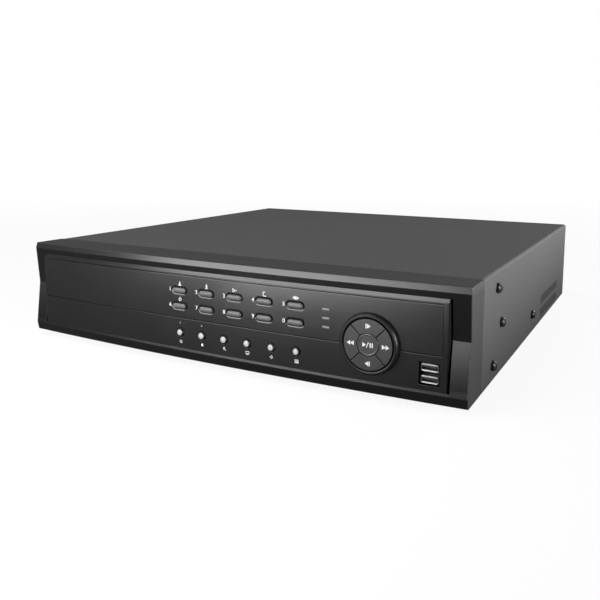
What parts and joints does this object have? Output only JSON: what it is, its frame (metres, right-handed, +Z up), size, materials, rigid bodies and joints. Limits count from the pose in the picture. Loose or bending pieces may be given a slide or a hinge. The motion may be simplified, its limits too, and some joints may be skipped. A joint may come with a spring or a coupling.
{
  "type": "surveillance video recorder",
  "caption": "Rack-width surveillance video recorder with a bowed key panel, navigation pad and front sockets, and a rear panel of video jacks, fan, switch and mains inlet.",
  "frame": {"origin": "on the standing surface, under the middle of the overall box", "axes": "+X to the right as seen from the front, +Y from the front to the back, +Z up"},
  "size_m": [0.4478, 0.4678, 0.094],
  "materials": {
    "cover_paint": "fine satin texture",
    "rear_paint": "satin",
    "zinc_steel": "zinc plated",
    "bezel_plastic": "satin",
    "panel_plastic": "satin",
    "window_plastic": "gloss",
    "light_pipe": "frosted",
    "key_grey": "satin",
    "key_silver": "silver coat",
    "nav_black": "satin",
    "socket_steel": "nickel plated",
    "black_plastic": "moulded",
    "circuit_board": "solder mask",
    "ribbon": "flat cable",
    "bare_aluminium": "cast and extruded",
    "white_insulator": "moulded",
    "red_plastic": "moulded",
    "green_plastic": "moulded",
    "brass_pin": "plated",
    "black_screw": "black oxide",
    "foot_rubber": "moulded"
  },
  "bodies": {
    "case": {"top_cover": "cover_paint", "rear_panel": "rear_paint", "chassis_tray": "zinc_steel", "drive_cage": "zinc_steel", "power_supply": "zinc_steel", "front_bezel": "bezel_plastic", "control_panel": "panel_plastic", "panel_window": "window_plastic", "status_lights": "light_pipe", "nav_ring": "nav_black", "usb_shells": "socket_steel", "bnc_barrels": "socket_steel", "rca_rings": "socket_steel", "vga_port": "socket_steel", "hdmi_port": "socket_steel", "network_port": "socket_steel", "fan_guard": "socket_steel", "usb_tongues": "black_plastic", "key_switches": "black_plastic", "bnc_housings": "black_plastic", "mains_inlet": "black_plastic", "switch_frame": "black_plastic", "fan_frame": "black_plastic", "board_chips": "black_plastic", "keypad_board": "circuit_board", "main_board": "circuit_board", "ribbon_cable": "ribbon", "heat_sink": "bare_aluminium", "hard_drives": "bare_aluminium", "capacitors": "bare_aluminium", "bnc_insulators": "white_insulator", "rca_housing": "red_plastic", "terminal_blocks": "green_plastic", "inlet_pins": "brass_pin", "cover_screws": "black_screw", "small_screws": "black_screw", "rubber_feet": "foot_rubber"},
    "number_key_0": {"number_key_0": "key_grey"},
    "number_key_1": {"number_key_1": "key_grey"},
    "number_key_2": {"number_key_2": "key_grey"},
    "number_key_3": {"number_key_3": "key_grey"},
    "number_key_4": {"number_key_4": "key_grey"},
    "number_key_5": {"number_key_5": "key_grey"},
    "number_key_6": {"number_key_6": "key_grey"},
    "number_key_7": {"number_key_7": "key_grey"},
    "number_key_8": {"number_key_8": "key_grey"},
    "number_key_9": {"number_key_9": "key_grey"},
    "power_key": {"power_key": "key_silver"},
    "alarm_key": {"alarm_key": "key_silver"},
    "search_key": {"search_key": "key_silver"},
    "display_key": {"display_key": "key_silver"},
    "pan_tilt_key": {"pan_tilt_key": "key_silver"},
    "menu_key": {"menu_key": "key_silver"},
    "nav_key_right": {"nav_key_right": "nav_black"},
    "nav_key_up": {"nav_key_up": "nav_black"},
    "nav_key_left": {"nav_key_left": "nav_black"},
    "nav_key_down": {"nav_key_down": "nav_black"},
    "play_key": {"play_key": "nav_black"},
    "switch_rocker": {"switch_rocker": "black_plastic"},
    "fan_rotor": {"fan_rotor": "black_plastic"}
  },
  "joints": [
    {"name": "number_key_0_press", "type": "slide", "parent": "case", "child": "number_key_0", "axis": [0, 1, 0], "range_m": [0, 0.0008], "stiffness_N_per_m": 900},
    {"name": "number_key_1_press", "type": "slide", "parent": "case", "child": "number_key_1", "axis": [0, 1, 0], "range_m": [0, 0.0008], "stiffness_N_per_m": 900},
    {"name": "number_key_2_press", "type": "slide", "parent": "case", "child": "number_key_2", "axis": [0, 1, 0], "range_m": [0, 0.0008], "stiffness_N_per_m": 900},
    {"name": "number_key_3_press", "type": "slide", "parent": "case", "child": "number_key_3", "axis": [0, 1, 0], "range_m": [0, 0.0008], "stiffness_N_per_m": 900},
    {"name": "number_key_4_press", "type": "slide", "parent": "case", "child": "number_key_4", "axis": [0, 1, 0], "range_m": [0, 0.0008], "stiffness_N_per_m": 900},
    {"name": "number_key_5_press", "type": "slide", "parent": "case", "child": "number_key_5", "axis": [0, 1, 0], "range_m": [0, 0.0008], "stiffness_N_per_m": 900},
    {"name": "number_key_6_press", "type": "slide", "parent": "case", "child": "number_key_6", "axis": [0, 1, 0], "range_m": [0, 0.0008], "stiffness_N_per_m": 900},
    {"name": "number_key_7_press", "type": "slide", "parent": "case", "child": "number_key_7", "axis": [0, 1, 0], "range_m": [0, 0.0008], "stiffness_N_per_m": 900},
    {"name": "number_key_8_press", "type": "slide", "parent": "case", "child": "number_key_8", "axis": [0, 1, 0], "range_m": [0, 0.0008], "stiffness_N_per_m": 900},
    {"name": "number_key_9_press", "type": "slide", "parent": "case", "child": "number_key_9", "axis": [0, 1, 0], "range_m": [0, 0.0008], "stiffness_N_per_m": 900},
    {"name": "power_key_press", "type": "slide", "parent": "case", "child": "power_key", "axis": [0, 1, 0], "range_m": [0, 0.0008], "stiffness_N_per_m": 900},
    {"name": "alarm_key_press", "type": "slide", "parent": "case", "child": "alarm_key", "axis": [0, 1, 0], "range_m": [0, 0.0008], "stiffness_N_per_m": 900},
    {"name": "search_key_press", "type": "slide", "parent": "case", "child": "search_key", "axis": [0, 1, 0], "range_m": [0, 0.0008], "stiffness_N_per_m": 900},
    {"name": "display_key_press", "type": "slide", "parent": "case", "child": "display_key", "axis": [0, 1, 0], "range_m": [0, 0.0008], "stiffness_N_per_m": 900},
    {"name": "pan_tilt_key_press", "type": "slide", "parent": "case", "child": "pan_tilt_key", "axis": [0, 1, 0], "range_m": [0, 0.0008], "stiffness_N_per_m": 900},
    {"name": "menu_key_press", "type": "slide", "parent": "case", "child": "menu_key", "axis": [0, 1, 0], "range_m": [0, 0.0008], "stiffness_N_per_m": 900},
    {"name": "nav_key_right_press", "type": "slide", "parent": "case", "child": "nav_key_right", "axis": [0, 1, 0], "range_m": [0, 0.0008], "stiffness_N_per_m": 900},
    {"name": "nav_key_up_press", "type": "slide", "parent": "case", "child": "nav_key_up", "axis": [0, 1, 0], "range_m": [0, 0.0008], "stiffness_N_per_m": 900},
    {"name": "nav_key_left_press", "type": "slide", "parent": "case", "child": "nav_key_left", "axis": [0, 1, 0], "range_m": [0, 0.0008], "stiffness_N_per_m": 900},
    {"name": "nav_key_down_press", "type": "slide", "parent": "case", "child": "nav_key_down", "axis": [0, 1, 0], "range_m": [0, 0.0008], "stiffness_N_per_m": 900},
    {"name": "play_key_press", "type": "slide", "parent": "case", "child": "play_key", "axis": [0, 1, 0], "range_m": [0, 0.0008], "stiffness_N_per_m": 900},
    {"name": "rocker_swing", "type": "hinge", "parent": "case", "child": "switch_rocker", "pos_m": [0.1913, 0.21494, 0.068], "axis": [1, 0, 0], "range_deg": [-20, 0]},
    {"name": "fan_spin", "type": "hinge", "parent": "case", "child": "fan_rotor", "pos_m": [0.1398, 0.20844, 0.05], "axis": [0, 1, 0], "continuous": true}
  ]
}
